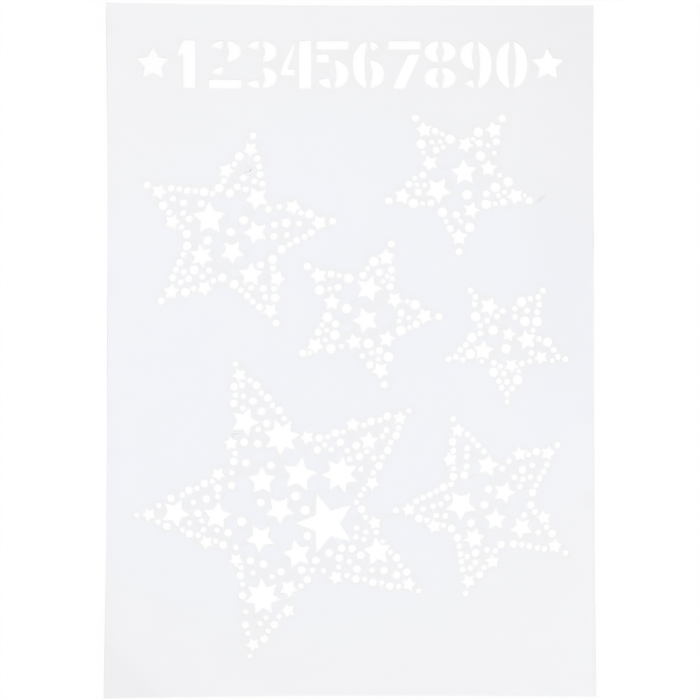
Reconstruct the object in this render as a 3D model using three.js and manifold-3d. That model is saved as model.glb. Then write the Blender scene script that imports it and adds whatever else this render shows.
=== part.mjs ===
import Module from 'manifold-3d';
import * as THREE from 'three';
import { mergeVertices } from 'three/addons/utils/BufferGeometryUtils.js';

// Drawing stencil: one sheet of thin milky film with cut-outs right through it.
// A row of numerals runs along the top, and six large stars are spread below it.
// Each large star is drawn by mini stars and round dots, with webs of film between them.
// Millimetres. The sheet lies on its underside at z = 0, centred on the origin,
// with the row of numerals towards +Y. Bearings are degrees anticlockwise from +Y.

// Film
const SHEET_WIDTH = 210;
const SHEET_LENGTH = 297;
const FILM_THICKNESS = 0.5;
const CUTTER_OVERRUN = 1;
const FILM_COLOUR = 0xf1f2f7;

// Film that is left whole: along the sheet's edges, around each large star or numeral,
// between neighbours in a star's arms, and between the dots of its middle
const EDGE_MARGIN = 5;
const GROUP_WEB = 1.5;
const ARM_WEB = 1.05;
const MIDDLE_WEB = 1.6;

// Row of numerals, with a mini star at each end
const ROW_FROM_TOP_EDGE = 15.2;
const ROW_SLOTS = ['star', 1, 2, 3, 4, 5, 6, 7, 8, 9, 0, 'star'];
const ROW_STAR_REACH = 7;
const NUMERAL_HEIGHT = 20.6;
const NUMERAL_GAP = 1.6;
const STEM = 5.2;
const HAIRLINE = 2.7;
const BAR = 3.8;
const BRIDGE = 1.9;
const HALF_COUNTER = 0.8;
const BOWL_HEIGHT = 12.6;
const FLAG_DROP = 5;
const HOOK_ANGLE = 25;
const ARC_STEP_ANGLE = 30;

// Dots and mini stars. Dots under the smallest radius keep their room but stay uncut.
const SMALLEST_DOT = 1.1;
const DOT_SIDES = 6;
const MINI_STAR_TIPS = 5;
const MINI_STAR_WAIST = 0.55;
const ACCENT_WAIST = 0.5;

// Large stars: the notch between two arms and the extent of the middle as shares of the reach,
// and how closely places for dots are tried along a flank and inside the outline
const ARMS = 5;
const NOTCH_SHARE = 0.43;
const MIDDLE_SHARE = 0.4;
const FLANK_STEP = 0.25;
const FILL_TRIES = 4000;

// Motifs: reach is from the centre to the middle of a tip's dot, and sizes are the punches.
// An accent is a larger mini star at a share of the reach and a bearing from the first arm.
// It has the usual tips and waist unless it states its own.
const MOTIFS = {
  scattered: {
    seed: 11,
    reach: 43,
    sizes: { pin: 1.05, medium: 1.6, large: 2, star: 3.3 },
    tip: ['medium', 'star'],
    leftFlank: ['large', 'pin', 'star', 'pin', 'large', 'pin', 'medium', 'pin'],
    rightFlank: ['medium', 'pin', 'medium', 'pin', 'large', 'pin', 'medium', 'large'],
    armFill: { large: 3, medium: 12 },
    middleFill: { large: 3 },
    accents: [
      { out: 0.29, bearing: 70, reach: 7.2, turn: 12 },
      { out: 0.4, bearing: 136, reach: 5.2, tips: 6, turn: 20 },
      { out: 0.19, bearing: 185, reach: 5.2, turn: 50 },
      { out: 0.22, bearing: -77, reach: 5.2, turn: 30 },
      { out: 0.42, bearing: -22, reach: 5.2, turn: 38 },
      { out: 0.45, bearing: -147, reach: 5.2, turn: 8 },
    ],
  },
  open: {
    seed: 23,
    reach: 32,
    sizes: { pin: 1, medium: 1.65, large: 2.2, star: 3.6 },
    tip: ['medium', 'star'],
    leftFlank: ['large', 'pin', 'medium', 'pin'],
    rightFlank: ['medium', 'pin', 'large', 'pin', 'medium'],
    armFill: { large: 2, medium: 6 },
    middleFill: { large: 1 },
    accents: [
      { out: 0.1, bearing: -80, reach: 5.7, turn: 40 },
      { out: 0.33, bearing: 84, reach: 5.7, turn: 4 },
      { out: 0.47, bearing: 165, reach: 3.6, turn: 20 },
      { out: 0.44, bearing: 27, reach: 3.6, turn: 60 },
      { out: 0.46, bearing: -47, reach: 3.6, turn: 10 },
      { out: 0.42, bearing: -108, reach: 3.6, turn: 32 },
    ],
  },
  compact: {
    seed: 37,
    reach: 26.6,
    sizes: { small: 1.2, large: 2.05, star: 3.1 },
    tip: ['small', 'small'],
    leftFlank: ['small', 'large', 'small', 'small'],
    rightFlank: ['small', 'small', 'large', 'small'],
    armFill: { large: 2, small: 10 },
    middleFill: { large: 2 },
    accents: [
      { out: 0.42, bearing: 78, reach: 4.4, turn: 30 },
      { out: 0.62, bearing: -8, reach: 4.4, turn: 15 },
      { out: 0.32, bearing: -125, reach: 4.4, turn: 48 },
      { out: 0.62, bearing: -153, reach: 3.1, turn: 62 },
      { out: 0.42, bearing: 154, reach: 3.1, turn: 5 },
      { out: 0.1, bearing: -52, reach: 3.1, turn: 25 },
    ],
  },
  rich: {
    seed: 53,
    reach: 66,
    sizes: { pin: 1.05, small: 1.2, medium: 1.75, large: 2.1, star: 2.9 },
    tip: ['small', 'star'],
    leftFlank: ['medium', 'pin', 'medium', 'pin', 'star', 'pin', 'medium', 'pin'],
    rightFlank: ['pin', 'medium', 'pin', 'medium', 'pin', 'medium', 'pin', 'star', 'pin'],
    armFill: { medium: 26 },
    middleFill: { large: 3, medium: 5 },
    accents: [
      { out: 0.26, bearing: -135, reach: 13, turn: 69, waist: 0.43 },
      { out: 0.46, bearing: -14, reach: 7.8, tips: 7, turn: 0, waist: 0.55 },
      { out: 0.39, bearing: -78, reach: 7.8, tips: 7, turn: 20, waist: 0.55 },
      { out: 0.61, bearing: 142, reach: 7.8, tips: 7, turn: 34, waist: 0.55 },
      { out: 0.22, bearing: -37, reach: 7.4, turn: 40 },
      { out: 0.63, bearing: 7, reach: 6.1, turn: 30 },
      { out: 0.07, bearing: 84, reach: 6.1, turn: 18 },
      { out: 0.25, bearing: 26, reach: 6.1, turn: 52 },
      { out: 0.31, bearing: 168, reach: 6.1, turn: 64 },
      { out: 0.48, bearing: 76, reach: 6.1, turn: 44 },
      { out: 0.75, bearing: 72, reach: 6.1, turn: 26 },
      { out: 0.64, bearing: -138, reach: 6.1, turn: 58 },
      { out: 0.28, bearing: 115, reach: 6.1, turn: 10 },
      { out: 0.53, bearing: 158, reach: 4, turn: 22 },
      { out: 0.67, bearing: -71, reach: 4, turn: 48 },
    ],
  },
};

// Large stars: centre from the sheet's centre, and bearing of the motif's first arm
const LARGE_STARS = [
  { motif: MOTIFS.scattered, x: -50.4, y: 50.1, turn: -11, scale: 1 },
  { motif: MOTIFS.open, x: 46.9, y: 74.1, turn: 36, scale: 1 },
  { motif: MOTIFS.open, x: 6.2, y: 15.6, turn: -93, scale: 1 },
  { motif: MOTIFS.compact, x: 67.5, y: 3.8, turn: 36, scale: 1 },
  { motif: MOTIFS.rich, x: -26.1, y: -68.1, turn: 21, scale: 1 },
  { motif: MOTIFS.scattered, x: 59, y: -66.8, turn: 22, scale: 0.92 },
];

function polar(distance, bearing) {
  const angle = THREE.MathUtils.degToRad(bearing);
  return new THREE.Vector2(-Math.sin(angle), Math.cos(angle)).multiplyScalar(distance);
}

// A cut-out is its outline, with the middle and the reach of the circle that holds it
function cutOut(points, middle, reach) {
  return { points, middle, reach };
}

function dot(middle, radius) {
  const points = Array.from({ length: DOT_SIDES }, (_, corner) => (
    polar(radius, (360 / DOT_SIDES) * corner).add(middle)
  ));
  return cutOut(points, middle, radius);
}

function starCorners(reach, waist, tips, turn) {
  return Array.from({ length: 2 * tips }, (_, corner) => (
    polar(corner % 2 === 0 ? reach : waist, turn + (180 / tips) * corner)
  ));
}

function miniStar(middle, reach, tips, turn, waist) {
  const points = starCorners(reach, reach * waist, tips, turn);
  return cutOut(points.map((point) => point.add(middle)), middle, reach);
}

// Film between cut-outs
function edgesOf(points) {
  return points.map((point, index) => [point, points[(index + 1) % points.length]]);
}

function distanceToEdge(point, [from, to]) {
  const along = to.clone().sub(from);
  const share = point.clone().sub(from).dot(along) / along.lengthSq();
  const nearest = from.clone().addScaledVector(along, THREE.MathUtils.clamp(share, 0, 1));
  return nearest.distanceTo(point);
}

function isInside(point, points) {
  const crossed = edgesOf(points).filter(([from, to]) => {
    const spans = from.y > point.y !== to.y > point.y;
    return spans && point.x < from.x + ((point.y - from.y) / (to.y - from.y)) * (to.x - from.x);
  });
  return crossed.length % 2 === 1;
}

function cornersAreClear(one, other, web) {
  const edges = edgesOf(other.points);
  return one.points.every((point) => (
    !isInside(point, other.points) && edges.every((edge) => distanceToEdge(point, edge) >= web)
  ));
}

function isClear(one, other, web) {
  if (one.middle.distanceTo(other.middle) >= one.reach + other.reach + web) {
    return true;
  }
  return cornersAreClear(one, other, web) && cornersAreClear(other, one, web);
}

// A motif is punched in order, and a punch that would leave too little film is left out
function makeMotif({
  seed, reach, sizes, tip, leftFlank, rightFlank, armFill, middleFill, accents,
}) {
  const cuts = [];
  const random = () => THREE.MathUtils.seededRandom();
  THREE.MathUtils.seededRandom(seed);

  const place = (cut, web) => {
    const clear = cuts.every((other) => isClear(cut, other, web));
    if (clear) {
      cuts.push(cut);
    }
    return clear;
  };
  const punch = (size, middle) => {
    const turn = (360 / MINI_STAR_TIPS) * random();
    const star = () => miniStar(middle, sizes.star, MINI_STAR_TIPS, turn, MINI_STAR_WAIST);
    return size === 'star' ? star() : dot(middle, sizes[size]);
  };

  // Tips: a dot, then its neighbour one web further in
  const tipReach = sizes[tip[0]];
  const nextIn = tipReach + ARM_WEB + sizes[tip[1]];
  const arms = Array.from({ length: ARMS }, (_, arm) => (360 / ARMS) * arm);
  for (const bearing of arms) {
    place(punch(tip[0], polar(reach, bearing)), ARM_WEB);
    place(punch(tip[1], polar(reach - nextIn, bearing)), ARM_WEB);
  }

  for (const { tips = MINI_STAR_TIPS, waist = ACCENT_WAIST, ...accent } of accents) {
    const middle = polar(accent.out * reach, accent.bearing);
    place(miniStar(middle, accent.reach, tips, accent.turn, waist), ARM_WEB);
  }

  // Flanks: from each tip to the notches beside it, with the outer sides of the punches in line
  for (const bearing of arms) {
    for (const [side, flank] of [[1, leftFlank], [-1, rightFlank]]) {
      const start = polar(reach, bearing);
      const notch = polar(reach * NOTCH_SHARE, bearing + side * (180 / ARMS));
      const along = notch.clone().sub(start).normalize();
      const inward = new THREE.Vector2(side * along.y, -side * along.x);
      let punched = 0;
      for (let walked = 0; walked <= notch.distanceTo(start); walked += FLANK_STEP) {
        const size = flank[punched % flank.length];
        const middle = start.clone().addScaledVector(along, walked);
        middle.addScaledVector(inward, sizes[size] - tipReach);
        if (place(punch(size, middle), ARM_WEB)) {
          punched += 1;
        }
      }
    }
  }

  // Arms, then middle: dots spread at random inside the star's outline, the largest first
  const outline = starCorners(reach, reach * NOTCH_SHARE, ARMS, 0);
  const spread = (counts, nearest, farthest, web) => {
    for (const [size, count] of Object.entries(counts)) {
      let left = count;
      for (let tries = 0; tries < FILL_TRIES && left > 0; tries += 1) {
        const share = THREE.MathUtils.lerp(nearest, farthest, random());
        const middle = polar(reach * share, 360 * random());
        if (isInside(middle, outline) && place(punch(size, middle), web)) {
          left -= 1;
        }
      }
    }
  };
  spread(armFill, MIDDLE_SHARE, 1, ARM_WEB);
  spread(middleFill, 0, MIDDLE_SHARE, MIDDLE_WEB);
  return cuts.filter((cut) => cut.reach >= SMALLEST_DOT);
}

function moveCut(cut, { x, y, turn, scale }) {
  const move = (point) => {
    const turned = point.clone().rotateAround(new THREE.Vector2(), THREE.MathUtils.degToRad(turn));
    return turned.multiplyScalar(scale).add(new THREE.Vector2(x, y));
  };
  return cutOut(cut.points.map(move), move(cut.middle), cut.reach * scale);
}

// Numerals stand on y = 0 about x = 0, and a bridge of film runs up the middle of each ring
const halfBridge = BRIDGE / 2;
const ringReach = HALF_COUNTER + STEM;
const halfNumeral = halfBridge + ringReach;

// One side of a ring, from a low angle to a high one: -90 is the ring's foot and 90 its top
function halfRing(side, [low, high], from = -90, to = 90) {
  const height = (high - low) / 2;
  const steps = Math.ceil((to - from) / ARC_STEP_ANGLE);
  const arc = (reach, rise, start, end) => Array.from({ length: steps + 1 }, (_, step) => {
    const angle = THREE.MathUtils.degToRad(THREE.MathUtils.lerp(start, end, step / steps));
    const x = side * (halfBridge + reach * Math.cos(angle));
    return new THREE.Vector2(x, low + height + rise * Math.sin(angle));
  });
  return [...arc(ringReach, height, from, to), ...arc(HALF_COUNTER, height - HAIRLINE, to, from)];
}

function corners(...pairs) {
  return pairs.map(([x, y]) => new THREE.Vector2(x, y));
}

function bar(left, right, low, high) {
  return corners([left, low], [right, low], [right, high], [left, high]);
}

function makeNumerals() {
  const top = NUMERAL_HEIGHT;
  const full = [0, top];
  const lower = [0, (top - BRIDGE) / 2];
  const upper = [(top + BRIDGE) / 2, top];
  const bowl = [0, BOWL_HEIGHT];
  const barFoot = top - BAR;
  const strokeTop = barFoot - BRIDGE;
  const inner = halfBridge + HALF_COUNTER;

  const six = [halfRing(-1, full), halfRing(1, bowl), halfRing(1, full, 2 * HOOK_ANGLE, 90)];
  return {
    0: [halfRing(-1, full), halfRing(1, full)],
    1: [corners(
      [-STEM / 2, 0], [STEM / 2, 0], [STEM / 2, top], [-STEM / 2, top],
      [-halfNumeral + BRIDGE, top - FLAG_DROP], [-halfNumeral + BRIDGE, top - FLAG_DROP - HAIRLINE],
      [-STEM / 2, top - FLAG_DROP],
    )],
    2: [
      halfRing(-1, upper, HOOK_ANGLE, 90), halfRing(1, upper), halfRing(-1, lower, HOOK_ANGLE, 90),
      bar(-halfNumeral, halfNumeral, 0, BAR),
    ],
    3: [
      halfRing(-1, upper, HOOK_ANGLE, 90), halfRing(1, upper),
      halfRing(1, lower), halfRing(-1, lower, -90, -HOOK_ANGLE),
    ],
    4: [
      corners(
        [-halfBridge, top], [-halfNumeral, BAR + BRIDGE + HAIRLINE], [-halfNumeral, BAR + BRIDGE],
        [-halfBridge, BAR + BRIDGE], [-halfBridge, BAR + BRIDGE + HAIRLINE],
        [-halfNumeral + STEM / 2, BAR + BRIDGE + HAIRLINE], [-halfBridge, top - FLAG_DROP],
      ),
      bar(halfBridge, halfBridge + STEM, 0, top),
    ],
    5: [
      bar(-halfNumeral, halfNumeral, barFoot, top), bar(-halfNumeral, -inner, upper[0], strokeTop),
      halfRing(1, bowl), halfRing(-1, bowl, -90, -HOOK_ANGLE),
    ],
    6: six,
    7: [
      bar(-halfNumeral, halfNumeral, barFoot, top),
      corners([-STEM, 0], [0, 0], [halfNumeral, strokeTop], [halfNumeral - STEM, strokeTop]),
    ],
    8: [halfRing(-1, lower), halfRing(1, lower), halfRing(-1, upper), halfRing(1, upper)],
    9: six.map((points) => points.map(({ x, y }) => new THREE.Vector2(-x, top - y))),
  };
}

function makeRow(base) {
  const numerals = makeNumerals();
  const pitch = 2 * halfNumeral + NUMERAL_GAP;
  return ROW_SLOTS.flatMap((slot, index) => {
    const foot = new THREE.Vector2((index - (ROW_SLOTS.length - 1) / 2) * pitch, base);
    const middle = foot.clone().add(new THREE.Vector2(0, NUMERAL_HEIGHT / 2));
    if (slot === 'star') {
      return [miniStar(middle, ROW_STAR_REACH, MINI_STAR_TIPS, 0, ACCENT_WAIST)];
    }
    const reach = Math.hypot(halfNumeral, NUMERAL_HEIGHT / 2);
    return numerals[slot].map((points) => cutOut(points.map((point) => point.add(foot)), middle, reach));
  });
}

// Sheet
const halfWidth = SHEET_WIDTH / 2;
const halfLength = SHEET_LENGTH / 2;

function isOnSheet({ points }) {
  return points.every(({ x, y }) => (
    Math.abs(x) <= halfWidth - EDGE_MARGIN && Math.abs(y) <= halfLength - EDGE_MARGIN
  ));
}

const groups = [makeRow(halfLength - ROW_FROM_TOP_EDGE - NUMERAL_HEIGHT)];
for (const star of LARGE_STARS) {
  groups.push(makeMotif(star.motif).map((cut) => moveCut(cut, star)));
}
const sheetCuts = [];
for (const group of groups) {
  const earlier = [...sheetCuts];
  const clear = (cut) => isOnSheet(cut) && earlier.every((other) => isClear(cut, other, GROUP_WEB));
  sheetCuts.push(...group.filter(clear));
}

// The cutters stand through the blank film, and run past both of its faces
const wasm = await Module();
wasm.setup();

function toSolid(geometry) {
  geometry.deleteAttribute('normal');
  geometry.deleteAttribute('uv');
  const { attributes, index } = mergeVertices(geometry);
  const vertProperties = new Float32Array(attributes.position.array);
  const triVerts = new Uint32Array(index.array);
  return new wasm.Manifold(new wasm.Mesh({ numProp: 3, vertProperties, triVerts }));
}

function toGeometry(solid) {
  const { vertProperties, triVerts } = solid.getMesh();
  const geometry = new THREE.BufferGeometry();
  geometry.setAttribute('position', new THREE.BufferAttribute(vertProperties, 3));
  geometry.setIndex(new THREE.BufferAttribute(triVerts, 1));
  return geometry;
}

const blank = new THREE.BoxGeometry(SHEET_WIDTH, SHEET_LENGTH, FILM_THICKNESS);
blank.translate(0, 0, FILM_THICKNESS / 2);
const cutters = new THREE.ExtrudeGeometry(sheetCuts.map((cut) => new THREE.Shape(cut.points)), {
  depth: FILM_THICKNESS + 2 * CUTTER_OVERRUN,
  bevelEnabled: false,
});
cutters.translate(0, 0, -CUTTER_OVERRUN);

const sheet = new THREE.Mesh(
  toGeometry(toSolid(blank).subtract(toSolid(cutters))),
  new THREE.MeshStandardMaterial({ color: FILM_COLOUR, roughness: 0.45, metalness: 0 }),
);
sheet.name = 'stencil_sheet';

const stencil = new THREE.Group();
stencil.add(sheet);

export default stencil;
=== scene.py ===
# %% [markdown]
# # A star stencil of milky film
# A stencil is a sheet of thin plastic with shapes cut right through it: paint or ink goes
# through the openings and the film keeps it off everywhere else. This one is the size of a page.
# Six large stars are drawn by hundreds of dots and mini stars, under a row of numerals.
# The solid in the frame is flat and has hexagons for dots. Here the same sheet gets round dots,
# rounded corners, its smallest dots, the slight curl of real film and the look of milky plastic.

import math
import random
from collections import namedtuple

import bmesh
import bpy
import numpy as np
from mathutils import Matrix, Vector
from mathutils.geometry import delaunay_2d_cdt
from mathutils.kdtree import KDTree


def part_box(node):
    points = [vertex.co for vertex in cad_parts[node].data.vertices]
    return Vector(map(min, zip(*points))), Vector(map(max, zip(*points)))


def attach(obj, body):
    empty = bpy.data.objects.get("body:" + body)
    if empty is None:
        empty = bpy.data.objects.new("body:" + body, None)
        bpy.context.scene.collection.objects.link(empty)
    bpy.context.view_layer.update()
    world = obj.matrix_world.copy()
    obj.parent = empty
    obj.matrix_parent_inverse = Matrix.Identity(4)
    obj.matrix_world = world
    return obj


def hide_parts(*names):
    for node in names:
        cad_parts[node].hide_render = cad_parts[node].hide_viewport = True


MM = 0.001

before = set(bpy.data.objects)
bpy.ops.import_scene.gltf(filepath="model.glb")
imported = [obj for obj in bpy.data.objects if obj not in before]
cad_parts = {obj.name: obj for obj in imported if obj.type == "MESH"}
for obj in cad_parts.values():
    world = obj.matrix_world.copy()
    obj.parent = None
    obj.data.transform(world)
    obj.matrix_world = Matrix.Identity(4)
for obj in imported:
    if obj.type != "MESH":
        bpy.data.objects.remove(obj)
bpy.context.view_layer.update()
sheet_low, sheet_high = (Vector(corner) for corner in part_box("stencil_sheet"))
sheet_size = sheet_high - sheet_low
film_thickness = sheet_size.z
print("sheet in mm:", [round(side / MM, 2) for side in sheet_size])

# %% [markdown]
# ## The camera
# The photograph looks down on the sheet, whose long side fills the picture but for a few
# millimetres. A lens of the length below, at arm's length, shows just that much. The height
# matters as well as the framing: a lifted corner comes nearer to the lens and looks larger. The
# near end looks a little wider than the far one too, so the camera leans by less than a degree.

# %% Camera
CAMERA_HEIGHT = 450 * MM
CAMERA_LEAN = math.radians(0.8)
VIEW_WIDTH = 302.0 * MM
AIM = Vector((-0.26 * MM, -0.4 * MM, sheet_high.z))


def linked(name, data):
    """A new object in the scene."""
    made = bpy.data.objects.new(name, data)
    bpy.context.scene.collection.objects.link(made)
    return made


camera = linked("camera", bpy.data.cameras.new("camera"))
camera.data.lens = camera.data.sensor_width * CAMERA_HEIGHT / VIEW_WIDTH
camera.rotation_euler.x = CAMERA_LEAN
camera.location = AIM + camera.rotation_euler.to_matrix() @ Vector((0, 0, CAMERA_HEIGHT))
bpy.context.scene.camera = camera
print("lens in mm:", round(camera.data.lens, 1))

# %% [markdown]
# ## Reading the cut-outs
# The solid already says where the film is cut, so nothing is measured twice. Its upper face is
# one plane full of openings. An edge of that face with a wall on its other side runs along an
# opening, and such edges chained end to end give one loop of points for each opening.

# %% Loops of the upper face
WELD = 0.001 * MM
UPWARD = 0.9


def upper_loops(node):
    """The outlines of a node's upper face, each as a list of points in the plane."""
    solid = bmesh.new()
    solid.from_mesh(node.data)
    solid.transform(node.matrix_world)
    bmesh.ops.remove_doubles(solid, verts=solid.verts, dist=WELD)
    solid.normal_update()
    following = {}
    for face in solid.faces:
        for loop in face.loops:
            neighbour = loop.link_loop_radial_next.face
            if face.normal.z > UPWARD > neighbour.normal.z:
                following[loop.vert] = loop.link_loop_next.vert
    loops = []
    while following:
        corner = next(iter(following))
        loops.append([])
        while corner in following:
            loops[-1].append(corner.co.xy)
            corner = following.pop(corner)
    solid.free()
    return loops


solid_loops = upper_loops(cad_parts["stencil_sheet"])
print("loops on the upper face:", len(solid_loops))

# %% [markdown]
# A loop may have points on its straight runs, where the triangles of the solid happen to meet.
# Only the points where it turns are its corners. The widest loop of all is the sheet's border.

# %% Corners of the openings
STRAIGHT = math.radians(3)


def neighbours(loop):
    """Each point of a loop, between the one before it and the one after it."""
    return zip(loop[-1:] + loop[:-1], loop, loop[1:] + loop[:1])


def turn_at(before, here, after):
    """The angle by which a loop turns at a point."""
    return abs((here - before).angle_signed(after - here))


def corners_of(loop):
    """A loop without the points on its straight runs."""
    return [near[1] for near in neighbours(loop) if turn_at(*near) > STRAIGHT]


def width(loop):
    """The size of a loop along X."""
    return max(point.x for point in loop) - min(point.x for point in loop)


*cut_loops, border = sorted((corners_of(loop) for loop in solid_loops), key=width)
print("openings:", len(cut_loops), "corners of the border:", len(border))

# %% [markdown]
# ## Telling dots, mini stars and numerals apart
# A dot's six corners all lie on one circle, and a star's corners lie on two circles in turn, the
# tips on the outer and the notches on the inner one. So the distances from the middle of a loop
# are enough to name it: its waist is the inner distance as a share of the outer one.

# %% Reading one opening
SAME_RADIUS = 0.03
FEWEST_CORNERS = 6


def spread(radii):
    """How far radii differ, as a share of the largest."""
    return (max(radii) - min(radii)) / max(radii)


def read_opening(loop):
    """A loop's middle, reach, turn, tips and waist, or None if it is no dot and no star."""
    middle = sum(loop, Vector((0, 0))) / len(loop)
    arms = [corner - middle for corner in loop]
    first = max(range(len(arms)), key=lambda index: arms[index].length)
    outer = [arm.length for arm in arms[first % 2::2]]
    inner = [arm.length for arm in arms[1 - first % 2::2]]
    if len(loop) < FEWEST_CORNERS or len(loop) % 2 or max(spread(outer), spread(inner)) > SAME_RADIUS:
        return None
    waist = np.mean(inner) / np.mean(outer)
    turn = math.atan2(arms[first].y, arms[first].x)
    return middle, float(np.mean(outer)), turn, len(outer), round(float(waist), 2)


readings = [read_opening(loop) for loop in cut_loops]
strokes = [loop for loop, reading in zip(cut_loops, readings) if reading is None]
print("dots and mini stars:", len(readings) - len(strokes), "strokes of numerals:", len(strokes))

# %% [markdown]
# What fits neither kind is a stroke of a numeral and keeps its corners. Each of the others becomes
# a mark, which is all that a punch needs to know. The round dot that a hexagon stands for lies
# between the circle through its corners and the one that touches its sides.

# %% Marks
ROUND_WAIST = 0.97
ROUND_SHARE = 0.98
DOT = 0
FIRST_STAR = 1
Mark = namedtuple("Mark", "middle reach turn kind")

marks = []
star_kinds = []
for middle, reach, turn, tips, waist in filter(None, readings):
    if waist > ROUND_WAIST:
        marks.append(Mark(middle, reach * ROUND_SHARE, turn, DOT))
        continue
    if (tips, waist) not in star_kinds:
        star_kinds.append((tips, waist))
    marks.append(Mark(middle, reach, turn, FIRST_STAR + star_kinds.index((tips, waist))))
dot_count = sum(mark.kind == DOT for mark in marks)
print("dots:", dot_count, "mini stars:", len(marks) - dot_count)
print("kinds of star, as tips and waist:", star_kinds)

# %% [markdown]
# ## Room for larger cuts
# Between two cuts stays a web of film, and its width decides how large a cut may be. To measure
# the webs round a cut, points are set out on its outline: on the circle of a dot, or along the
# edges of a mini star.

# %% Points round a cut
EDGE_SHARES = (0, 1 / 3, 2 / 3)
RIM_STEPS = 12


def polar(distance, bearing):
    """A point at a distance, with its bearing in degrees anticlockwise from +Y."""
    angle = math.radians(bearing)
    return Vector((-math.sin(angle), math.cos(angle))) * distance


def star_corners(mark):
    """The corners of a mini star's outline."""
    tips, waist = star_kinds[mark.kind - FIRST_STAR]
    angles = (mark.turn + math.pi * corner / tips for corner in range(2 * tips))
    radii = [mark.reach, mark.reach * waist] * tips
    return [mark.middle + Vector((math.cos(a), math.sin(a))) * r for a, r in zip(angles, radii)]


def rim_points(mark):
    """Points all round the outline of a dot or a mini star."""
    if mark.kind == DOT:
        return [mark.middle + polar(mark.reach, 360 * step / RIM_STEPS) for step in range(RIM_STEPS)]
    edges = neighbours(star_corners(mark))
    return [start.lerp(end, share) for _, start, end in edges for share in EDGE_SHARES]


print("points round all dots and mini stars:", sum(len(rim_points(mark)) for mark in marks))

# %% [markdown]
# The distance from such a point to the nearest other cut is the width of the web there. The other
# cuts are circles and straight edges, so plain formulas on whole arrays of points are exact and
# quick, where building each outline to measure it would be slow.

# %% Webs between cuts
NEARBY = 25 * MM


def room_at(points, cuts):
    """How far each point is from the nearest cut, and less than 0 inside a dot or star."""
    at = np.array(points)
    room = np.full(len(at), np.inf)
    for mark in cuts:
        heart = 1 if mark.kind == DOT else star_kinds[mark.kind - FIRST_STAR][1]
        room = np.minimum(room, np.hypot(*(at - np.array(mark.middle)).T) - mark.reach * heart)
    for loop in strokes + [star_corners(mark) for mark in cuts if mark.kind != DOT]:
        for _, start, end in neighbours(loop):
            along = np.array(end - start)
            share = np.clip((at - np.array(start)) @ along / (along @ along), 0, 1)
            room = np.minimum(room, np.hypot(*(at - np.array(start) - share[:, None] * along).T))
    return room


def web_round(mark):
    """The width of the thinnest web between a dot or star and the cuts near it."""
    nearby = [other for other in marks if 0 < (other.middle - mark.middle).length < NEARBY]
    return room_at(rim_points(mark), nearby).min()


star_numbers = [number for number, mark in enumerate(marks) if mark.kind != DOT]
thinnest = min(web_round(marks[number]) for number in star_numbers)
print("thinnest web beside a mini star of the solid in mm:", round(thinnest / MM, 2))

# %% [markdown]
# The solid keeps its webs wide, so that no piece of it is too thin, and its openings are a little
# small for that. On the real sheet the webs are about as wide as the film is thick. So each mini
# star grows here, but only as far as a web is left. The dots of one large star grow after them,
# and those of another get a little smaller.

# %% Larger stars and dots
WEB = 0.6 * MM
STAR_GROWTH = 0.45 * MM
LargeStar = namedtuple("LargeStar", "centre reach bearing dot_growth")
# the bearing is that of the first arm, in degrees anticlockwise from +Y
LARGE_STARS = {
    "upper_scattered": LargeStar(Vector((-50.4, 50.1)) * MM, 43.0 * MM, -11, 0.0),
    "upper_open": LargeStar(Vector((46.9, 74.1)) * MM, 32.0 * MM, 36, 0.0),
    "middle_open": LargeStar(Vector((6.2, 15.6)) * MM, 32.0 * MM, -93, 0.0),
    "compact": LargeStar(Vector((67.5, 3.8)) * MM, 26.6 * MM, 36, 0.17 * MM),
    "rich": LargeStar(Vector((-26.1, -68.1)) * MM, 66.0 * MM, 21, 0.0),
    "lower_scattered": LargeStar(Vector((59.0, -66.8)) * MM, 39.6 * MM, 22, -0.08 * MM),
}


def grow(number, growth):
    """Makes a mark larger, as far as its web allows, or smaller, and returns by how much."""
    mark = marks[number]
    short = WEB - web_round(mark._replace(reach=mark.reach + growth))
    gained = min(max(growth - short, 0), growth)
    marks[number] = mark._replace(reach=mark.reach + gained)
    return gained


star_gains = [grow(number, STAR_GROWTH) for number in star_numbers]
print("mean growth of the mini stars in mm:", round(np.mean(star_gains) / MM, 2))
for name, star in LARGE_STARS.items():
    dot_numbers = [number for number, mark in enumerate(marks)
                   if mark.kind == DOT and (mark.middle - star.centre).length < star.reach]
    gains = [grow(number, star.dot_growth) for number in dot_numbers]
    print(name, "has", len(gains), "dots, mean growth in mm:", round(np.mean(gains) / MM, 2))

# %% [markdown]
# ## The smallest dots
# Between the dots that line each large star sit smaller ones, no wider than a pin's head. The
# solid keeps their room but leaves them uncut. Pins may go along the flanks, from tip to notch,
# where their rims line up with the dot at the tip, and anywhere inside the arms.

# %% Places for pins
ARMS = 5
NOTCH_SHARE = 0.43
FLANK_STEP = 0.25 * MM
Pins = namedtuple("Pins", "least most count")
# least and most radius of a pin in each large star, and number of pins
PINS = {
    "upper_scattered": Pins(1.1 * MM, 1.35 * MM, 33),
    "upper_open": Pins(0.95 * MM, 1.15 * MM, 20),
    "middle_open": Pins(0.95 * MM, 1.15 * MM, 18),
    "compact": Pins(0.95 * MM, 1.15 * MM, 4),
    "rich": Pins(1.0 * MM, 1.25 * MM, 76),
    "lower_scattered": Pins(1.05 * MM, 1.3 * MM, 30),
}


def large_outline(star):
    """The corners of a large star: a tip, a notch, the next tip and so on."""
    bearings = [star.bearing + 180 / ARMS * corner for corner in range(2 * ARMS)]
    radii = [star.reach, star.reach * NOTCH_SHARE] * ARMS
    return [star.centre + polar(*corner) for corner in zip(radii, bearings)]


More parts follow.
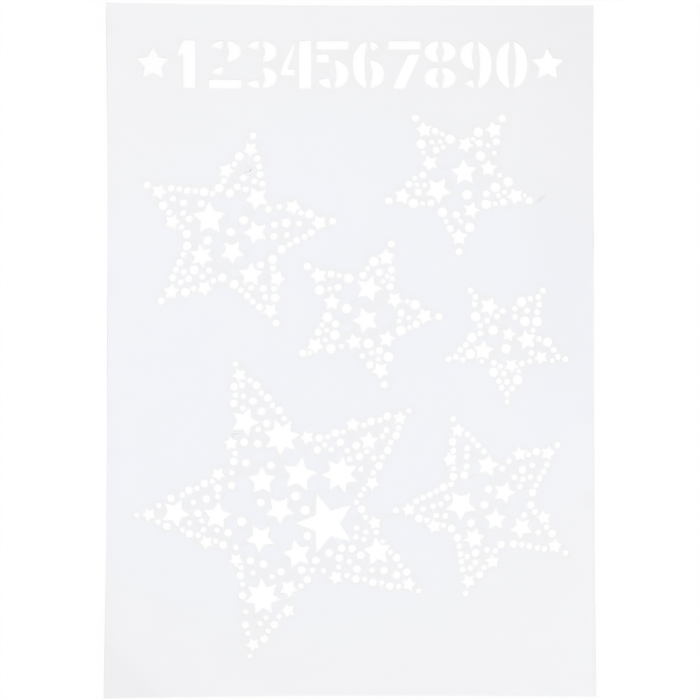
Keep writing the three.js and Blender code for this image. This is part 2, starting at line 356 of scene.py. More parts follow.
def flank_places(star, most):
    """Places along the flanks of a large star, for pins of up to a radius."""
    places = []
    for before, tip, after in list(neighbours(large_outline(star)))[::2]:
        tip_dot = min(marks, key=lambda mark: (mark.middle - tip).length)
        for notch in (after, before):
            along = (notch - tip).normalized()
            outward = along.orthogonal()
            if outward.dot(tip + notch - 2 * star.centre) < 0:
                outward.negate()
            first = tip + outward * (tip_dot.reach - most)
            steps = range(int((notch - tip).length / FLANK_STEP) + 1)
            places += [first + along * step * FLANK_STEP for step in steps]
    return places


for name, star in LARGE_STARS.items():
    print("places on the flanks of", name, len(flank_places(star, PINS[name].most)))

# %% [markdown]
# The pins go where most film is left: first on the flanks, and then inside the arms until the
# star has its share. Each is as large as a thin web around it allows. The places inside are
# random, and a fixed seed keeps the result the same.

# %% Pins
PIN_SEED = 5
PIN_WEB = 0.45 * MM
INSIDE_PLACES = 1500
MIDDLE_SHARE = 0.45


def is_inside(point, loop):
    """Whether a point is inside a loop, by counting the edges to its right."""
    crossed = False
    for _, start, end in neighbours(loop):
        if (start.y > point.y) != (end.y > point.y):
            share = (point.y - start.y) / (end.y - start.y)
            crossed ^= point.x < start.x + share * (end.x - start.x)
    return crossed


def inside_places(star):
    """Random places inside a large star, outside its middle."""
    outline = large_outline(star)
    places = (star.centre + polar(star.reach * random.uniform(MIDDLE_SHARE, 1), random.uniform(0, 360))
              for _ in range(INSIDE_PLACES))
    return [place for place in places if is_inside(place, outline)]


def cut_pins(places, least, most, count):
    """Cuts up to count pins, always where most film is left, and returns how many."""
    at = np.array(places)
    room = room_at(places, marks) - PIN_WEB
    for made in range(count):
        best = int(room.argmax())
        radius = float(min(room[best], most))
        if radius < least:
            return made
        marks.append(Mark(Vector(places[best]), radius, 0.0, DOT))
        room = np.minimum(room, np.hypot(*(at - at[best]).T) - radius - PIN_WEB)
    return count


random.seed(PIN_SEED)
for name, star in LARGE_STARS.items():
    least, most, count = PINS[name]
    on_flanks = cut_pins(flank_places(star, most), least, most, count)
    inside = cut_pins(inside_places(star), least, most, count - on_flanks)
    print("pins in", name, on_flanks, "on flanks and", inside, "inside")

# %% [markdown]
# ## Node trees as Python expressions
# Both the cutting pattern and the materials are node trees. Written node by node they are long
# and hard to read, so one small class wraps an output socket: arithmetic on it adds Math nodes,
# and its node method adds any other node, with the settings first and the sockets after them.

# %% Wires
class Wire:
    """An output socket of a node tree, which takes part in Python expressions."""

    def __init__(self, tree, socket):
        self.tree = tree
        self.socket = socket

    def node(self, kind, settings=None, sockets=None, out=0):
        """Adds a node to the tree and returns one of its outputs."""
        made = self.tree.nodes.new(kind)
        for name, value in (settings or {}).items():
            setattr(made, name, value)
        for name, value in (sockets or {}).items():
            self.feed(made.inputs[name], value)
        return Wire(self.tree, made.outputs[out])

    def feed(self, socket, value):
        """Sets a socket to a plain value, or links it to a wire or to each wire of a list."""
        for one in value if isinstance(value, list) else [value]:
            if isinstance(one, Wire):
                self.tree.links.new(one.socket, socket)
            else:
                socket.default_value = one

    def math(self, operation, *values):
        """A Math node on plain values and wires."""
        return self.node("ShaderNodeMath", {"operation": operation}, dict(enumerate(values)))

    def __add__(self, other):
        return self.math("ADD", self, other)

    def __sub__(self, other):
        return self.math("SUBTRACT", self, other)

    def __rsub__(self, other):
        return self.math("SUBTRACT", other, self)

    def __mul__(self, other):
        return self.math("MULTIPLY", self, other)

    def __truediv__(self, other):
        return self.math("DIVIDE", self, other)

    def __rtruediv__(self, other):
        return self.math("DIVIDE", other, self)

    def __abs__(self):
        return self.math("ABSOLUTE", self)

    __radd__ = __add__
    __rmul__ = __mul__

    def rise(self, low, high):
        """0 up to low, 1 from high on, and smooth in between."""
        return self.node("ShaderNodeMapRange", {"interpolation_type": "SMOOTHSTEP"},
                         {"Value": self, "From Min": low, "From Max": high})

    def mix(self, one, other):
        """The first colour where this wire is 0, and the other where it is 1."""
        # a Mix node has sockets for every kind of data, and colours are 6 and 7 in and 2 out
        return self.node("ShaderNodeMix", {"data_type": "RGBA"}, {0: self, 6: one, 7: other}, out=2)


print("sums that a wire can take part in: + - * / and abs")

# %% [markdown]
# ## The punch pattern
# A maker of stencils has a handful of punches and uses each of them over and over. Geometry
# Nodes work the same way: each mark is a point that carries a reach, a turn and a kind, and the
# tree puts the right punch on every point. The numerals' strokes come along as closed edges.
# Where a stroke bends only a little it stands for an arc, so its corner gets as large a radius as
# fits.

# %% Marks as points
STROKE = -1
STROKE_ROUNDING = 0.55 * MM
ARC_ROUNDING = 40 * MM
ARC_BEND = math.radians(50)


def marks_object():
    """A mesh with one point for each dot or star, and the strokes as closed edges."""
    points = list(marks)
    roundings = [0.0] * len(marks)
    edges = []
    for loop in strokes:
        first = len(points)
        for near in neighbours(loop):
            edges.append((len(points), first + (len(points) - first + 1) % len(loop)))
            points.append(Mark(near[1], 0.0, 0.0, STROKE))
            roundings.append(ARC_ROUNDING if turn_at(*near) < ARC_BEND else STROKE_ROUNDING)
    mesh = bpy.data.meshes.new("punch_marks")
    mesh.from_pydata([(*point.middle, 0) for point in points], edges, [])
    for name, number, values in (("reach", "FLOAT", [point.reach for point in points]),
                                 ("turn", "FLOAT", [point.turn for point in points]),
                                 ("kind", "INT", [point.kind for point in points]),
                                 ("rounding", "FLOAT", roundings)):
        mesh.attributes.new(name, number, "POINT").data.foreach_set("value", values)
    return linked("punch_marks", mesh)


punch_marks = marks_object()
print("points:", len(punch_marks.data.vertices), "edges of strokes:", len(punch_marks.data.edges))

# %% [markdown]
# A tree that is used as a modifier has named inputs, so that its sizes can be set from outside.
# Every punch has a reach of 1, and the point that it lands on turns it and makes it as large as
# the mark says.

# %% Punches
PATTERN_INPUTS = {"Marks": "Geometry", "Dot Steps": "Int", "Tip Rounding": "Float",
                  "Rounding Steps": "Int", "Shortest Edge": "Float", "Film": "Material"}

pattern = bpy.data.node_groups.new("punch_pattern", "GeometryNodeTree")
pattern.is_modifier = True
for name, kind in PATTERN_INPUTS.items():
    pattern.interface.new_socket(name, in_out="INPUT", socket_type="NodeSocket" + kind)
pattern.interface.new_socket("Outlines", in_out="OUTPUT", socket_type="NodeSocketGeometry")
entry = pattern.nodes.new("NodeGroupInput")
given = {name: Wire(pattern, entry.outputs[name]) for name in PATTERN_INPUTS}
points = given["Marks"]


def carried(name, number):
    """A value that the points carry."""
    return points.node("GeometryNodeInputNamedAttribute", {"data_type": number}, {"Name": name})


punch_kind = carried("kind", "INT")
punch_reach = carried("reach", "FLOAT")
punch_turn = points.node("FunctionNodeAxisAngleToRotation", None,
                         {"Axis": (0, 0, 1), "Angle": carried("turn", "FLOAT")})


def punched(kind, punch):
    """A punch on every mark of its kind."""
    # of the sockets of a Compare node, 2 and 3 are those for whole numbers
    chosen = points.node("FunctionNodeCompare", {"data_type": "INT", "operation": "EQUAL"},
                         {2: punch_kind, 3: kind})
    return points.node("GeometryNodeInstanceOnPoints", None, {
        "Points": points, "Selection": chosen, "Instance": punch,
        "Rotation": punch_turn, "Scale": punch_reach})


circle = points.node("GeometryNodeCurvePrimitiveCircle", {"mode": "RADIUS"},
                     {"Resolution": given["Dot Steps"], "Radius": 1.0})
punched_dots = punched(DOT, circle)
punched_stars = []
for kind, (tips, waist) in enumerate(star_kinds, FIRST_STAR):
    star_punch = points.node("GeometryNodeCurveStar", None, {
        "Points": tips, "Inner Radius": waist, "Outer Radius": 1.0})
    punched_stars.append(punched(kind, star_punch))
print("punches:", 1 + len(punched_stars), "nodes so far:", len(pattern.nodes))

# %% [markdown]
# A real cutter leaves no perfectly sharp corner, so the corners are rounded after the copies are
# made, when a radius is in real metres. Where two roundings meet, points that lie all but on each
# other are merged, so that no edge is too short.

# %% Rounded outlines
def rounded(curve, radius):
    """Curves with their corners rounded, as far as there is room."""
    return points.node("GeometryNodeFilletCurve", {"mode": "POLY"}, {
        "Curve": curve, "Count": given["Rounding Steps"], "Radius": radius, "Limit Radius": True})


all_stars = points.node("GeometryNodeJoinGeometry", None, {"Geometry": punched_stars})
real_stars = points.node("GeometryNodeRealizeInstances", None, {"Geometry": all_stars})
stroke_curves = points.node("GeometryNodeMeshToCurve", None, {"Mesh": points})
all_cuts = points.node("GeometryNodeJoinGeometry", None, {"Geometry": [
    punched_dots,
    rounded(real_stars, given["Tip Rounding"]),
    rounded(stroke_curves, carried("rounding", "FLOAT"))]})
real_cuts = points.node("GeometryNodeRealizeInstances", None, {"Geometry": all_cuts})
chains = points.node("GeometryNodeCurveToMesh", None, {"Curve": real_cuts})
merged = points.node("GeometryNodeMergeByDistance", None, {
    "Geometry": chains, "Distance": given["Shortest Edge"]})
outlines = points.node("GeometryNodeSetMaterial", None, {
    "Geometry": merged, "Material": given["Film"]})
points.feed(pattern.nodes.new("NodeGroupOutput").inputs["Outlines"], outlines)
print("nodes of the pattern:", len(pattern.nodes))

# %% [markdown]
# A modifier runs the tree on the marks. Its inputs go by the identifiers of their sockets, and
# they are set before anything asks for the result, which is then kept as a plain mesh.

# %% Stamping the outlines
DOT_STEPS = 24
TIP_ROUNDING = 0.18 * MM
ROUNDING_STEPS = 3
SHORTEST_EDGE = 0.07 * MM


def plain_mesh(made, name):
    """The evaluated mesh of an object whose modifiers are done, which are removed."""
    bpy.context.view_layer.update()
    ready = made.evaluated_get(bpy.context.evaluated_depsgraph_get())
    mesh = bpy.data.meshes.new_from_object(ready)
    mesh.name = name
    made.modifiers.clear()
    return mesh


film = bpy.data.materials.new("milky_film")
modifier = punch_marks.modifiers.new("punch_pattern", "NODES")
modifier.node_group = pattern
for name, value in (("Dot Steps", DOT_STEPS), ("Tip Rounding", TIP_ROUNDING),
                    ("Rounding Steps", ROUNDING_STEPS), ("Shortest Edge", SHORTEST_EDGE),
                    ("Film", film)):
    modifier[pattern.interface.items_tree[name].identifier] = value
outline_mesh = plain_mesh(punch_marks, "outlines")
bpy.data.objects.remove(punch_marks)
print("outlines:", len(outline_mesh.vertices), "points,", len(outline_mesh.edges), "edges")

# %% [markdown]
# ## Laying out the film
# The sheet is a flat net of triangles first: the border and the outlines are lines that the net
# must keep, and a loose grid of points between them lets the film bend. The outlines come as
# edges in any order, so they are chained into loops that all run the same way round.

# %% Loops of the outlines
def closed_loops(mesh):
    """The closed chains of a mesh's edges, anticlockwise, as lists of vertex numbers."""
    beside = {vertex.index: [] for vertex in mesh.vertices}
    for edge in mesh.edges:
        one, other = edge.vertices
        beside[one].append(other)
        beside[other].append(one)
    loops = []
    while beside:
        here = next(iter(beside))
        loop = []
        while here is not None:
            loop.append(here)
            here = next((other for other in beside.pop(here) if other in beside), None)
        corners = [mesh.vertices[index].co.xy for index in loop]
        area = sum(start.cross(end) for _, start, end in neighbours(corners))
        loops.append(loop if area > 0 else loop[::-1])
    return loops


openings = closed_loops(outline_mesh)
print("openings, with the smallest dots:", len(openings))

# %% [markdown]
# The border gets a point every few millimetres and the bare film a staggered grid. The grid keeps
# away from the cuts, because points close to them would only give thin slivers.

# %% Points of the film
GRID_STEP = 6 * MM
GRID_STAGGER = 0.5
GRID_ROOM = 1.3 * MM
BORDER_STEP = 5 * MM


def border_points():
    """The sheet's border, cut into short steps that can bend."""
    places = []
    for _, start, end in neighbours(border):
        steps = math.ceil((end - start).length / BORDER_STEP)
        places += [start.lerp(end, step / steps) for step in range(steps)]
    return places


def grid_points(taken):
    """A staggered grid over the sheet, without the points that are close to a taken one."""
    tree = KDTree(len(taken))
    for index, place in enumerate(taken):
        tree.insert((*place, 0), index)
    tree.balance()
    places = []
    rows = int(sheet_size.y / GRID_STEP)
    columns = int(sheet_size.x / GRID_STEP)
    for row in range(1, rows):
        for column in range(1, columns):
            steps_right = column + row % 2 * GRID_STAGGER
            x = sheet_low.x + sheet_size.x * steps_right / (columns + GRID_STAGGER)
            y = sheet_low.y + sheet_size.y * row / rows
            if tree.find((x, y, 0))[2] > GRID_ROOM:
                places.append(Vector((x, y)))
    return places


net_points = [vertex.co.xy for vertex in outline_mesh.vertices]
rim = border_points()
rim_start = len(net_points)
rim_edges = [(rim_start + n, rim_start + (n + 1) % len(rim)) for n in range(len(rim))]
net_points += rim
net_points += grid_points(net_points)
print("points on cuts:", rim_start, "on the border:", len(rim), "in all:", len(net_points))

# %% [markdown]
# Triangles that fall inside an opening are left out, which is the cutting. Doing this in the plane
# is exact and quick, where a boolean of hundreds of small solids would be slow and could fail.

# %% A flat net with openings
CDT_TRIANGLES = 0
CDT_EPSILON = 2e-6

flat_points, _, triangles, given_as, _, opening_of = delaunay_2d_cdt(
    net_points, rim_edges, openings, CDT_TRIANGLES, CDT_EPSILON)
net = [triangle for triangle, inside in zip(triangles, opening_of) if not inside]
print("triangles kept:", len(net), "of", len(triangles))

# %% [markdown]
# ## Curl and thickness
# Film that came off a roll never lies quite flat. Here both ends lift a little and three corners
# lift more, while the middle stays on the table. A parabola from a bend line to the edge is the
# shape of evenly curved film.

# %% Curl
END_LIFT = 1.4 * MM
END_BEND = 0.5
CORNER_BEND = 0.45
# lift of each corner on top of its end's, by its side and its end
CORNER_LIFTS = {(-1, 1): 3.6 * MM, (-1, -1): 3.7 * MM, (1, -1): 1.0 * MM}


def bend(share, start):
    """0 up to the start, then a parabola that comes to 1 where the share is 1."""
    return max((share - start) / (1 - start), 0) ** 2


def lift(point):
    """How far the film's underside is above the table."""
    across = 2 * point.x / sheet_size.x
    along = 2 * point.y / sheet_size.y
    height = END_LIFT * bend(abs(along), END_BEND)
    for (side, end), corner_lift in CORNER_LIFTS.items():
        height += corner_lift * bend((across * side + along * end) / 2, CORNER_BEND)
    return height


print("corner lifts in mm:", [round(lift(corner) / MM, 1) for corner in border])

# %% [markdown]
# The net becomes a sheet by a Solidify modifier, and a Bevel much smaller than the thickness takes
# the sharpness off every cut, as a worn die does. The points beside a cut and the walls of the
# cuts carry a value of their own, because the film looks different there.

# %% The sheet
EDGE_BEVEL = 0.05 * MM
EDGE_ANGLE = math.radians(60)
SMOOTH_ANGLE = math.radians(25)
WALL_SLOPE = 0.9


def film_piece(name, places, faces, attribute, values):
    """A net with the thickness and the worn edges of film, and a value on each of its points."""
    flat = bpy.data.meshes.new(name)
    flat.from_pydata(places, [], faces)
    flat.attributes.new(attribute, "FLOAT", "POINT").data.foreach_set("value", values)
    piece = linked(name, flat)
    solidify = piece.modifiers.new("thickness", "SOLIDIFY")
    solidify.thickness = film_thickness
    solidify.offset = 1
    bevel = piece.modifiers.new("worn_edge", "BEVEL")
    bevel.width = EDGE_BEVEL
    bevel.segments = 1
    bevel.limit_method = "ANGLE"
    bevel.angle_limit = EDGE_ANGLE
    bevel.use_clamp_overlap = False
    piece.data = plain_mesh(piece, name)
    piece.data.shade_smooth()
    piece.data.set_sharp_from_angle(angle=SMOOTH_ANGLE)
    piece.data.materials.clear()
    piece.data.materials.append(film)
    piece.data.calc_loop_triangles()
    return piece


used = sorted({index for triangle in net for index in triangle})
number_of = {index: number for number, index in enumerate(used)}
sheet = film_piece(
    "stencil_film",
    [(*flat_points[index], sheet_low.z + lift(flat_points[index])) for index in used],
    [[number_of[index] for index in triangle] for triangle in net],
    "beside_cut", [float(min(given_as[index]) < rim_start) for index in used])
walls = [float(abs(face.normal.z) < WALL_SLOPE) for face in sheet.data.polygons]
sheet.data.attributes.new("cut_wall", "FLOAT", "FACE").data.foreach_set("value", walls)
print("film:", len(sheet.data.loop_triangles), "triangles, faces of cut walls:", int(sum(walls)))

# %% [markdown]
# ## Two scraps of waste
# Cutting hundreds of openings leaves hundreds of scraps, and a few never fall out. Two dots of
# this sheet still hold on at one side and curl up out of their holes. Each is a disc of rings,
# bent round a cylinder that touches the sheet at the side that holds. The photograph shows dark
# specks on them, so the outermost ring carries a value of its own for the material.

# %% Hanging scraps
SCRAP_SHARE = 0.92
SCRAP_HOLD = 0.06 * MM
SCRAP_RINGS = (0.4, 0.7, 0.88, 1.0)
SCRAP_STEPS = 24
# about where the scrap hangs, bearing of the side that holds, and how far it bends, in degrees
SCRAPS = [(Vector((-44.1, 78.3)) * MM, 35, 46), (Vector((-48.2, -37.4)) * MM, 200, 40)]


def hanging_scrap(name, near, bearing, bent):
    """A disc of film that holds on to the wall of the dot nearest to a place."""
    dots = [mark for mark in marks if mark.kind == DOT]
    dot = min(dots, key=lambda mark: (mark.middle - near).length)
    reach = dot.reach * SCRAP_SHARE
    hold = dot.middle + polar(dot.reach + SCRAP_HOLD, bearing)
    inward = polar(1, bearing + 180)
    sideways = inward.orthogonal()
    curl = 2 * reach / math.radians(bent)

    def on_curl(ring, angle):
        """A point of the flat disc, taken round the cylinder."""
        turn = reach * (1 + ring * math.cos(angle)) / curl
        flat = hold + inward * curl * math.sin(turn) + sideways * reach * ring * math.sin(angle)
        return *flat, sheet_low.z + lift(hold) + curl * (1 - math.cos(turn))

    angles = [math.tau * step / SCRAP_STEPS for step in range(SCRAP_STEPS)]
    places = [on_curl(0, 0)] + [on_curl(ring, angle) for ring in SCRAP_RINGS for angle in angles]
    faces = []
    for step in range(SCRAP_STEPS):
        here = 1 + step
        beside = 1 + (step + 1) % SCRAP_STEPS
        faces.append((0, here, beside))
        for outer in range(SCRAP_STEPS, len(places) - 1, SCRAP_STEPS):
            inner = outer - SCRAP_STEPS
            faces.append((here + inner, here + outer, beside + outer, beside + inner))
    on_rim = [float(index > len(places) - 1 - SCRAP_STEPS) for index in range(len(places))]
    return film_piece(name, places, faces, "singed_rim", on_rim)


scraps = [hanging_scrap(f"scrap_{n}", *scrap) for n, scrap in enumerate(SCRAPS, 1)]
print("triangles of each scrap:", [len(scrap.data.loop_triangles) for scrap in scraps])

# %% [markdown]
# ## Milky film
# The film is a cloudy polymer: part of the light goes through it, spread by the cloud, and part
# comes back as a soft white. A shader with a small share of rough transmission does both. All
# patterns follow the object's own coordinates, which are metres on the sheet.

# %% Start of the film
MILK = 0.12
FILM_IOR = 1.5


def start_tree(material):
    """The principled shader of an emptied material, and the object coordinates as a wire."""
    material.use_nodes = True
    tree = material.node_tree
    tree.nodes.clear()
    shader = tree.nodes.new("ShaderNodeBsdfPrincipled")
    output = tree.nodes.new("ShaderNodeOutputMaterial")
    tree.links.new(shader.outputs["BSDF"], output.inputs["Surface"])
    place = Wire(tree, tree.nodes.new("ShaderNodeTexCoord").outputs["Object"])
    return shader, place


shader, place = start_tree(film)
x, y = (place.node("ShaderNodeSeparateXYZ", None, {"Vector": place}, out=name) for name in "XY")
place.feed(shader.inputs["Transmission Weight"], MILK)
place.feed(shader.inputs["IOR"], FILM_IOR)
print("share of light that the film lets through:", MILK)

# %% [markdown]
# Making and handling leave marks all over the film: faint clouds in the melt, a satin grain, a few
# hairline scuffs and specks of dust. Noise gives the clouds and the grain. A scuff is the thin line
# along which a stretched noise is at its mean, and it shows only in patches. A speck of dust is
# the middle of a Voronoi cell, and only some of the cells have one.

# %% Clouds, grain, scuffs and dust
CLOUDS_PER_METRE = 22
CLOUD_DETAIL = 3.0
GRAIN_PER_METRE = 2600
GRAIN_DETAIL = 2.0
PATCHES_PER_METRE = 35
PATCH_DETAIL = 1.0
SCUFFS_PER_METRE = (9, 60, 30)
SCUFF_DETAIL = 4.0
SCUFF_TURN = (0, 0, math.radians(28))
SCUFF_WIDTH = (0.001, 0.004)
SCUFFED_PATCHES = (0.52, 0.68)
NOISE_MEAN = 0.5
DUST_PER_METRE = 90
DUST_SIZE = (0.008, 0.016)
DUSTY_CELLS = (0.72, 0.76)


def noise(vector, scale, detail):
    """A soft random pattern between 0 and 1."""
    return vector.node("ShaderNodeTexNoise", None, {
        "Vector": vector, "Scale": scale, "Detail": detail})


clouds = noise(place, CLOUDS_PER_METRE, CLOUD_DETAIL)
grain = noise(place, GRAIN_PER_METRE, GRAIN_DETAIL)
patches = noise(place, PATCHES_PER_METRE, PATCH_DETAIL)
stretched = place.node("ShaderNodeMapping", None, {
    "Vector": place, "Rotation": SCUFF_TURN, "Scale": SCUFFS_PER_METRE})
strands = noise(stretched, 1.0, SCUFF_DETAIL)
scuffs = (1 - abs(strands - NOISE_MEAN).rise(*SCUFF_WIDTH)) * patches.rise(*SCUFFED_PATCHES)
dust_distance, dust_chance = (
    place.node("ShaderNodeTexVoronoi", None, {"Vector": place, "Scale": DUST_PER_METRE}, out=name)
    for name in ("Distance", "Color"))
dust = (1 - dust_distance.rise(*DUST_SIZE)) * dust_chance.rise(*DUSTY_CELLS)
print("film nodes with clouds, grain, scuffs and dust:", len(film.node_tree.nodes))

# %% [markdown]
# Other marks have one place each. A stripe across the middle is a little bluer than the two ends:
# it is a painted reflection, a soft bluish light laid into the film's colour. It follows a line that
# climbs to the right, and gets narrower on both sides. Near a star's tip is one smear, an ellipse
# with gaps in it. Two opposite corners and the right edge are a little greyer: that is painted shade.

# %% Painted reflection, smear and painted shade
# the painted bluish reflection: its middle, the slope of its line, how fast it gets narrower to
# the left and the right, and where it fades out above and below
REFLECTION_AT = (-14.5 * MM, -9 * MM)
REFLECTION_SLOPE = 0.065
REFLECTION_TAPER = 3.9
REFLECTION_FADE = (75 * MM, 135 * MM)
SMEAR_AT = (82.2 * MM, 64.8 * MM)
SMEAR_SIZE = (3.0 * MM, 1.15 * MM)
SMEAR_ANGLE = math.radians(40)
SMEAR_FADE = (0.2, 1.0)
SMEARED_PATCHES = (0.3, 0.6)
# painted shade, from none to most: two opposite corners, by the sum of the
# distances from the middle, and more lightly the right edge, which fades out to both ends
SHADED_UPPER_CORNER = (165 * MM, 250 * MM)
SHADED_LOWER_CORNER = (218 * MM, 236 * MM)
SHADED_RIGHT_EDGE = (66 * MM, 88 * MM)
SHADED_EDGE_MIDDLE = 28 * MM
SHADED_EDGE_FADE = (25 * MM, 75 * MM)
SHADED_EDGE_SHARE = 0.55

# a soft bluish reflection painted into the colour, as a stripe across the middle
reflection_x = x - REFLECTION_AT[0]
reflection_y = y - REFLECTION_AT[1] - reflection_x * REFLECTION_SLOPE
blue_reflection = 1 - (abs(reflection_y) + reflection_x * reflection_x * REFLECTION_TAPER).rise(*REFLECTION_FADE)

smear_x = x - SMEAR_AT[0]
smear_y = y - SMEAR_AT[1]
cosine = math.cos(SMEAR_ANGLE)
sine = math.sin(SMEAR_ANGLE)
along = (smear_x * cosine + smear_y * sine) / SMEAR_SIZE[0]
across = (smear_y * cosine - smear_x * sine) / SMEAR_SIZE[1]
smear = (1 - (along * along + across * across).rise(*SMEAR_FADE)) * patches.rise(*SMEARED_PATCHES)

# painted shade on two opposite corners and along the right edge
shaded_edge_fade = 1 - abs(y - SHADED_EDGE_MIDDLE).rise(*SHADED_EDGE_FADE)
painted_edge_shade = ((x + y).rise(*SHADED_UPPER_CORNER) + (0 - x - y).rise(*SHADED_LOWER_CORNER)
        + x.rise(*SHADED_RIGHT_EDGE) * shaded_edge_fade * SHADED_EDGE_SHARE)
print("film nodes with band, smear and grips:", len(film.node_tree.nodes))

# %% [markdown]
# The rest depends on the cuts, and the meshes say where they are. Film beside the cuts is greyer,
# a painted shade along the edges of the openings. A cut wall has no skin, so it is whiter and
# duller. The rims of the two scraps are dark in spots.

# %% Beside and inside the cuts
SHADE_BESIDE_CUT_FADE = (0.4, 1.0)
RIM_SPOTS_PER_METRE = 900
RIM_SPOT_DETAIL = 2.0
RIM_SPOT_FADE = (0.45, 0.55)


def stored(name):
    """A value that a mesh stores on its points or faces, and 0 on a mesh without it."""
    return place.node("ShaderNodeAttribute", {"attribute_name": name}, out="Fac")


wall = stored("cut_wall")
# painted shade: film beside the cuts is greyer
shade_beside_cut = stored("beside_cut").rise(*SHADE_BESIDE_CUT_FADE)
spots = noise(place, RIM_SPOTS_PER_METRE, RIM_SPOT_DETAIL).rise(*RIM_SPOT_FADE)
# the rims of the two scraps are dark in spots
dark_rim_spots = stored("singed_rim") * spots
print("film nodes with the cuts:", len(film.node_tree.nodes))

# %% [markdown]
# The colours lie over each other in this order: a painted bluish reflection, the clouds of the
# melt, painted shade beside the cuts, dust, the smear with the painted shade of corners and edge,
# the cut walls, and last the dark spots of the scraps' rims. Grey is laid on thinly, because milky
# film hides most of what is on it.

# %% Colour of the film
END_COLOUR = (0.945, 0.946, 0.962, 1)
# painted reflection: the bluer colour of the stripe across the middle
BLUE_REFLECTION_COLOUR = (0.945, 0.953, 0.997, 1)
CLOUD_COLOUR = (0.955, 0.959, 0.978, 1)
# painted shade beside the cuts
SHADE_BESIDE_CUT_COLOUR = (0.928, 0.928, 0.933, 1)
DUST_COLOUR = (0.62, 0.62, 0.64, 1)
# the grey of the smear, a real mark, and of the painted shade at two corners and the right edge
SMEAR_AND_SHADE_COLOUR = (0.5, 0.485, 0.47, 1)
WALL_COLOUR = (0.96, 0.963, 0.975, 1)
# the colour of the dark spots on the rims of the two scraps
DARK_SPOT_COLOUR = (0.58, 0.57, 0.52, 1)
CLOUD_FADE = (0.35, 0.75)
CLOUD_SHARE = 0.25
SHADE_BESIDE_CUT_SHARE = 0.6
DUST_SHARE = 0.5
SMEAR_SHARE = 0.2
# the share of that grey for the painted shade at two corners and the right edge
EDGE_SHADE_SHARE = 0.062

# a painted bluish reflection over the film's own colour at the ends
with_reflection = blue_reflection.mix(END_COLOUR, BLUE_REFLECTION_COLOUR)
milky = (clouds.rise(*CLOUD_FADE) * CLOUD_SHARE).mix(with_reflection, CLOUD_COLOUR)
# painted shade along the edges of the openings
shaded_beside_cuts = (shade_beside_cut * SHADE_BESIDE_CUT_SHARE).mix(milky, SHADE_BESIDE_CUT_COLOUR)
dusty = (dust * DUST_SHARE).mix(shaded_beside_cuts, DUST_COLOUR)
# the smear is a real mark; two corners and the right edge get painted shade in the same grey
smeared_and_shaded = (smear * SMEAR_SHARE + painted_edge_shade * EDGE_SHADE_SHARE).mix(dusty, SMEAR_AND_SHADE_COLOUR)
walled = wall.mix(smeared_and_shaded, WALL_COLOUR)
place.feed(shader.inputs["Base Color"], dark_rim_spots.mix(walled, DARK_SPOT_COLOUR))
print("film nodes with the colours:", len(film.node_tree.nodes))

# %% [markdown]
# A satin skin is neither glossy nor matt. Clouds and scuffs make it a little duller, and cut walls
# more so. The grain and the scuffs are also dents that a finger could not feel.

# %% Gloss and grain of the film
SATIN = 0.4
CLOUD_DULLNESS = 0.08
SCUFF_DULLNESS = 0.12
WALL_DULLNESS = 0.2
GRAIN_STRENGTH = 0.35
GRAIN_DEPTH = 0.012 * MM
SCUFF_DEPTH_IN_GRAINS = 1.5

dullness = SATIN + clouds * CLOUD_DULLNESS + scuffs * SCUFF_DULLNESS + (wall + dark_rim_spots) * WALL_DULLNESS
place.feed(shader.inputs["Roughness"], dullness)
place.feed(shader.inputs["Normal"], place.node("ShaderNodeBump", None, {
    "Strength": GRAIN_STRENGTH, "Distance": GRAIN_DEPTH,
    "Height": grain - scuffs * SCUFF_DEPTH_IN_GRAINS}))
print("film nodes in all:", len(film.node_tree.nodes))

# %% [markdown]
# ## Table, light and background
# The picture is a catalogue shot: pure white all round, and no shadow to speak of. A floor that
# glows white to the camera, and to rays that come through the film, gives that background. A
# share of it stays an ordinary matt surface, so a trace of the soft shadow is left.

# %% Table
FLOOR_SIZE = 3.0
FLOOR_DROP = 0.05 * MM
FLOOR_GLOW = 0.96
FLOOR_WHITE = (0.95, 0.95, 0.95, 1)
WHITE = (1, 1, 1, 1)


def seen_directly(tree):
    """1 for rays from the camera and for those that it sees in or through a surface."""
    path = tree.nodes.new("ShaderNodeLightPath")
    camera_ray, glossy, through = (
        Wire(tree, path.outputs[name])
        for name in ("Is Camera Ray", "Is Glossy Ray", "Is Transmission Ray"))
    return camera_ray.math("MAXIMUM", camera_ray, camera_ray.math("MAXIMUM", glossy, through))


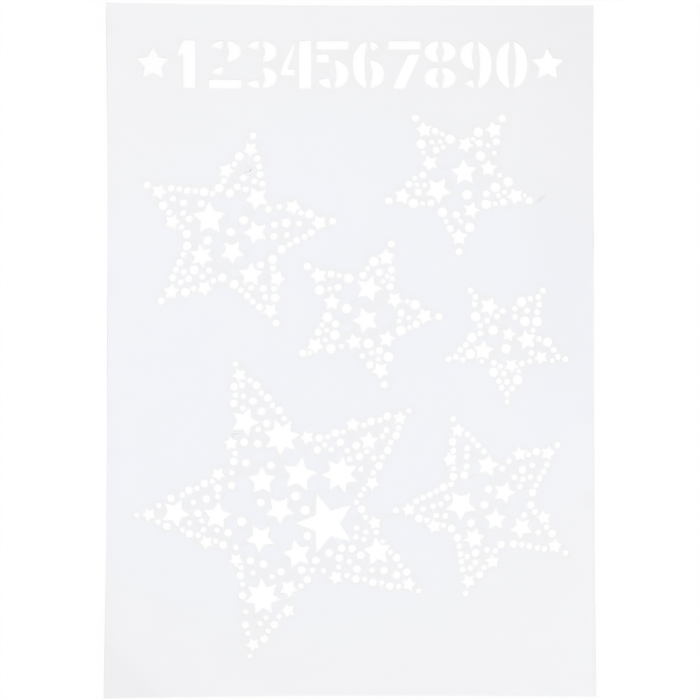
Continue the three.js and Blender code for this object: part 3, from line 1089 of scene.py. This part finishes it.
half = FLOOR_SIZE / 2
floor_corners = [(-half, -half), (half, -half), (half, half), (-half, half)]
floor_mesh = bpy.data.meshes.new("floor")
floor_mesh.from_pydata([(*corner, sheet_low.z - FLOOR_DROP) for corner in floor_corners],
                       [], [(0, 1, 2, 3)])
floor = linked("floor", floor_mesh)
table = bpy.data.materials.new("white_table")
table.use_nodes = True
table.node_tree.nodes.clear()
seen = seen_directly(table.node_tree)
matt = seen.node("ShaderNodeBsdfDiffuse", None, {"Color": FLOOR_WHITE})
glow = seen.node("ShaderNodeEmission", None, {"Color": WHITE, "Strength": 1.0})
table_top = seen.node("ShaderNodeMixShader", None, {0: seen * FLOOR_GLOW, 1: matt, 2: glow})
seen.feed(table.node_tree.nodes.new("ShaderNodeOutputMaterial").inputs["Surface"], table_top)
floor_mesh.materials.append(table)
print("floor in metres:", FLOOR_SIZE, "by", FLOOR_SIZE)

# %% [markdown]
# The light is as plain as the background: an even sky, and two large lamps on opposite sides that
# give the curl a little shape. The sky, too, is pure white where the camera sees it.

# %% Light and background
WORLD_LIGHT = 0.71
# name, position, size and power of each lamp, all aimed at the sheet
LAMPS = [("window", (-1.5, 1.2, 2.2), 2.4, 22.0), ("fill", (1.5, -1.2, 2.2), 2.4, 20.5)]

world = bpy.data.worlds.new("studio")
world.use_nodes = True
world.node_tree.nodes.clear()
seen = seen_directly(world.node_tree)
sky = seen.node("ShaderNodeBackground", None, {
    "Color": WHITE, "Strength": WORLD_LIGHT + seen * (1 - WORLD_LIGHT)})
seen.feed(world.node_tree.nodes.new("ShaderNodeOutputWorld").inputs["Surface"], sky)
bpy.context.scene.world = world
for name, position, size, power in LAMPS:
    lamp = bpy.data.lights.new(name, "AREA")
    lamp.size = size
    lamp.energy = power
    holder = linked(name, lamp)
    holder.location = position
    holder.rotation_euler = (-Vector(position)).to_track_quat("-Z", "Y").to_euler()
bpy.context.scene.view_settings.view_transform = "Standard"
print("lamps:", [lamp[0] for lamp in LAMPS])

# %% [markdown]
# ## Into the frame
# The film stands in for the solid sheet, which is hidden. Everything rides on the
# one body that the part has, because nothing on a stencil moves.

# %% Riding and finishing
for piece in (sheet, *scraps):
    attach(piece, "root")
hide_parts("stencil_sheet")
